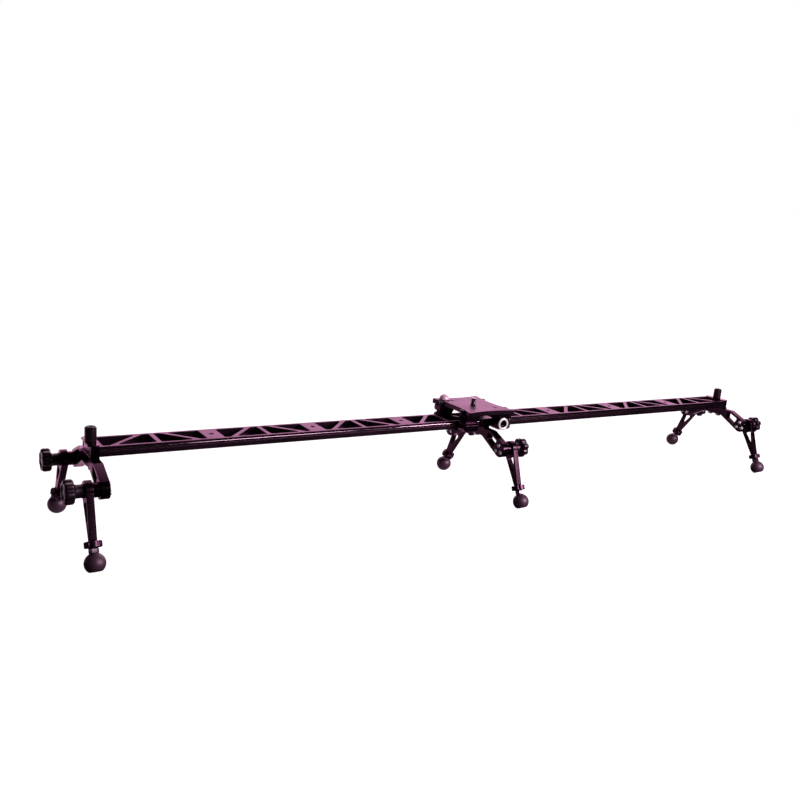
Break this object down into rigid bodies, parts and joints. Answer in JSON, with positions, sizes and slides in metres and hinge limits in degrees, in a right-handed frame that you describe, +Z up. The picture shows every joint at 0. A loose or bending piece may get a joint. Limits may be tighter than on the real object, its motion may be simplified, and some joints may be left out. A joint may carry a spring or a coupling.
{
  "type": "camera slider",
  "caption": "Camera slider: truss rail on arched outriggers with swing-out ball-footed legs, and a roller carriage with a threaded stud for a tripod head.",
  "frame": {"origin": "on the floor, under the middle of the rail", "axes": "+X along the rail, +Z up, -Y is the front, the side the brake screw is on"},
  "size_m": [1.3, 0.231, 0.155],
  "materials": {
    "rail_anodised": "black anodised, bead-blasted, satin sheen",
    "black_anodised": "black anodised, satin",
    "nut_anodised": "black anodised, milled ears",
    "post_black": "moulded black bumper",
    "knob_plastic": "glass-filled nylon, fine grain",
    "ball_rubber": "dark moulded rubber, soft sheen",
    "steel": "turned steel",
    "polished_steel": "polished",
    "screw_bright": "bright zinc plated",
    "screw_black": "black oxide",
    "level_lens": "clear domed acrylic over tinted liquid"
  },
  "bodies": {
    "frame": {"rail": "rail_anodised", "end_cap_left": "black_anodised", "end_cap_right": "black_anodised", "end_cap_screws": "screw_black", "stop_post_left": "post_black", "stop_post_right": "post_black", "stop_post_screws": "screw_black", "arch_left": "black_anodised", "arch_centre": "black_anodised", "arch_right": "black_anodised", "arch_bolts": "screw_bright", "pivot_hubs_left": "black_anodised", "pivot_hubs_centre": "black_anodised", "pivot_hubs_right": "black_anodised", "hub_screws": "screw_bright", "track_rods": "polished_steel"},
    "carriage": {"carriage_plate": "rail_anodised", "head_stud": "steel", "bracket_front_left": "black_anodised", "bracket_front_right": "black_anodised", "bracket_rear_left": "black_anodised", "bracket_rear_right": "black_anodised", "roller_axles": "steel", "bracket_screws": "screw_black", "bubble_level": "level_lens"},
    "brake": {"brake_screw": "polished_steel"},
    "track_roller_front_left": {"track_roller_front_left": "polished_steel"},
    "track_roller_front_right": {"track_roller_front_right": "polished_steel"},
    "track_roller_rear_left": {"track_roller_rear_left": "polished_steel"},
    "track_roller_rear_right": {"track_roller_rear_right": "polished_steel"},
    "leg_left_front": {"leg_left_front": "black_anodised"},
    "clamp_knob_left_front": {"clamp_knob_left_front": "knob_plastic"},
    "lock_nut_left_front": {"lock_nut_left_front": "nut_anodised"},
    "foot_left_front": {"foot_stud_left_front": "steel", "foot_ball_left_front": "ball_rubber"},
    "leg_left_rear": {"leg_left_rear": "black_anodised"},
    "clamp_knob_left_rear": {"clamp_knob_left_rear": "knob_plastic"},
    "lock_nut_left_rear": {"lock_nut_left_rear": "nut_anodised"},
    "foot_left_rear": {"foot_stud_left_rear": "steel", "foot_ball_left_rear": "ball_rubber"},
    "leg_centre_front": {"leg_centre_front": "black_anodised"},
    "clamp_knob_centre_front": {"clamp_knob_centre_front": "knob_plastic"},
    "lock_nut_centre_front": {"lock_nut_centre_front": "nut_anodised"},
    "foot_centre_front": {"foot_stud_centre_front": "steel", "foot_ball_centre_front": "ball_rubber"},
    "leg_centre_rear": {"leg_centre_rear": "black_anodised"},
    "clamp_knob_centre_rear": {"clamp_knob_centre_rear": "knob_plastic"},
    "lock_nut_centre_rear": {"lock_nut_centre_rear": "nut_anodised"},
    "foot_centre_rear": {"foot_stud_centre_rear": "steel", "foot_ball_centre_rear": "ball_rubber"},
    "leg_right_front": {"leg_right_front": "black_anodised"},
    "clamp_knob_right_front": {"clamp_knob_right_front": "knob_plastic"},
    "lock_nut_right_front": {"lock_nut_right_front": "nut_anodised"},
    "foot_right_front": {"foot_stud_right_front": "steel", "foot_ball_right_front": "ball_rubber"},
    "leg_right_rear": {"leg_right_rear": "black_anodised"},
    "clamp_knob_right_rear": {"clamp_knob_right_rear": "knob_plastic"},
    "lock_nut_right_rear": {"lock_nut_right_rear": "nut_anodised"},
    "foot_right_rear": {"foot_stud_right_rear": "steel", "foot_ball_right_rear": "ball_rubber"}
  },
  "joints": [
    {"name": "carriage_slide", "type": "slide", "parent": "frame", "child": "carriage", "axis": [1, 0, 0], "range_m": [-0.545, 0.573]},
    {"name": "track_roller_front_left_spin", "type": "hinge", "parent": "carriage", "child": "track_roller_front_left", "pos_m": [-0.0495, -0.02732, 0.1222], "axis": [0, 0, 1], "continuous": true},
    {"name": "track_roller_front_right_spin", "type": "hinge", "parent": "carriage", "child": "track_roller_front_right", "pos_m": [0.0215, -0.02732, 0.1222], "axis": [0, 0, 1], "continuous": true},
    {"name": "track_roller_rear_left_spin", "type": "hinge", "parent": "carriage", "child": "track_roller_rear_left", "pos_m": [-0.0495, 0.02732, 0.1222], "axis": [0, 0, -1], "continuous": true},
    {"name": "track_roller_rear_right_spin", "type": "hinge", "parent": "carriage", "child": "track_roller_rear_right", "pos_m": [0.0215, 0.02732, 0.1222], "axis": [0, 0, -1], "continuous": true},
    {"name": "brake_turn", "type": "hinge", "parent": "carriage", "child": "brake", "pos_m": [0.007, -0.048, 0.1245], "axis": [0, -1, 0], "range_deg": [-180, 180]},
    {"name": "leg_left_front_swing", "type": "hinge", "parent": "frame", "child": "leg_left_front", "pos_m": [-0.6226, -0.065, 0.087], "axis": [-1, 0, 0], "range_deg": [-27, 63]},
    {"name": "clamp_knob_left_front_turn", "type": "hinge", "parent": "frame", "child": "clamp_knob_left_front", "pos_m": [-0.6442, -0.065, 0.087], "axis": [1, 0, 0], "range_deg": [-180, 180]},
    {"name": "foot_left_front_reach", "type": "slide", "parent": "leg_left_front", "child": "foot_left_front", "axis": [0, -0.454, -0.891], "range_m": [0, 0.012]},
    {"name": "lock_nut_left_front_turn", "type": "hinge", "parent": "leg_left_front", "child": "lock_nut_left_front", "pos_m": [-0.6226, -0.09337, 0.03133], "axis": [0, 0.454, 0.891], "continuous": true},
    {"name": "leg_left_rear_swing", "type": "hinge", "parent": "frame", "child": "leg_left_rear", "pos_m": [-0.6226, 0.065, 0.087], "axis": [1, 0, 0], "range_deg": [-27, 63]},
    {"name": "clamp_knob_left_rear_turn", "type": "hinge", "parent": "frame", "child": "clamp_knob_left_rear", "pos_m": [-0.6442, 0.065, 0.087], "axis": [1, 0, 0], "range_deg": [-180, 180]},
    {"name": "foot_left_rear_reach", "type": "slide", "parent": "leg_left_rear", "child": "foot_left_rear", "axis": [0, 0.454, -0.891], "range_m": [0, 0.012]},
    {"name": "lock_nut_left_rear_turn", "type": "hinge", "parent": "leg_left_rear", "child": "lock_nut_left_rear", "pos_m": [-0.6226, 0.09337, 0.03133], "axis": [0, -0.454, 0.891], "continuous": true},
    {"name": "leg_centre_front_swing", "type": "hinge", "parent": "frame", "child": "leg_centre_front", "pos_m": [0.0181, -0.065, 0.087], "axis": [-1, 0, 0], "range_deg": [-27, 63]},
    {"name": "clamp_knob_centre_front_turn", "type": "hinge", "parent": "frame", "child": "clamp_knob_centre_front", "pos_m": [0.0397, -0.065, 0.087], "axis": [-1, 0, 0], "range_deg": [-180, 180]},
    {"name": "foot_centre_front_reach", "type": "slide", "parent": "leg_centre_front", "child": "foot_centre_front", "axis": [0, -0.454, -0.891], "range_m": [0, 0.012]},
    {"name": "lock_nut_centre_front_turn", "type": "hinge", "parent": "leg_centre_front", "child": "lock_nut_centre_front", "pos_m": [0.0181, -0.09337, 0.03133], "axis": [0, 0.454, 0.891], "continuous": true},
    {"name": "leg_centre_rear_swing", "type": "hinge", "parent": "frame", "child": "leg_centre_rear", "pos_m": [0.0181, 0.065, 0.087], "axis": [1, 0, 0], "range_deg": [-27, 63]},
    {"name": "clamp_knob_centre_rear_turn", "type": "hinge", "parent": "frame", "child": "clamp_knob_centre_rear", "pos_m": [0.0397, 0.065, 0.087], "axis": [-1, 0, 0], "range_deg": [-180, 180]},
    {"name": "foot_centre_rear_reach", "type": "slide", "parent": "leg_centre_rear", "child": "foot_centre_rear", "axis": [0, 0.454, -0.891], "range_m": [0, 0.012]},
    {"name": "lock_nut_centre_rear_turn", "type": "hinge", "parent": "leg_centre_rear", "child": "lock_nut_centre_rear", "pos_m": [0.0181, 0.09337, 0.03133], "axis": [0, -0.454, 0.891], "continuous": true},
    {"name": "leg_right_front_swing", "type": "hinge", "parent": "frame", "child": "leg_right_front", "pos_m": [0.6226, -0.065, 0.087], "axis": [-1, 0, 0], "range_deg": [-27, 63]},
    {"name": "clamp_knob_right_front_turn", "type": "hinge", "parent": "frame", "child": "clamp_knob_right_front", "pos_m": [0.6442, -0.065, 0.087], "axis": [-1, 0, 0], "range_deg": [-180, 180]},
    {"name": "foot_right_front_reach", "type": "slide", "parent": "leg_right_front", "child": "foot_right_front", "axis": [0, -0.454, -0.891], "range_m": [0, 0.012]},
    {"name": "lock_nut_right_front_turn", "type": "hinge", "parent": "leg_right_front", "child": "lock_nut_right_front", "pos_m": [0.6226, -0.09337, 0.03133], "axis": [0, 0.454, 0.891], "continuous": true},
    {"name": "leg_right_rear_swing", "type": "hinge", "parent": "frame", "child": "leg_right_rear", "pos_m": [0.6226, 0.065, 0.087], "axis": [1, 0, 0], "range_deg": [-27, 63]},
    {"name": "clamp_knob_right_rear_turn", "type": "hinge", "parent": "frame", "child": "clamp_knob_right_rear", "pos_m": [0.6442, 0.065, 0.087], "axis": [-1, 0, 0], "range_deg": [-180, 180]},
    {"name": "foot_right_rear_reach", "type": "slide", "parent": "leg_right_rear", "child": "foot_right_rear", "axis": [0, 0.454, -0.891], "range_m": [0, 0.012]},
    {"name": "lock_nut_right_rear_turn", "type": "hinge", "parent": "leg_right_rear", "child": "lock_nut_right_rear", "pos_m": [0.6226, 0.09337, 0.03133], "axis": [0, -0.454, 0.891], "continuous": true}
  ]
}
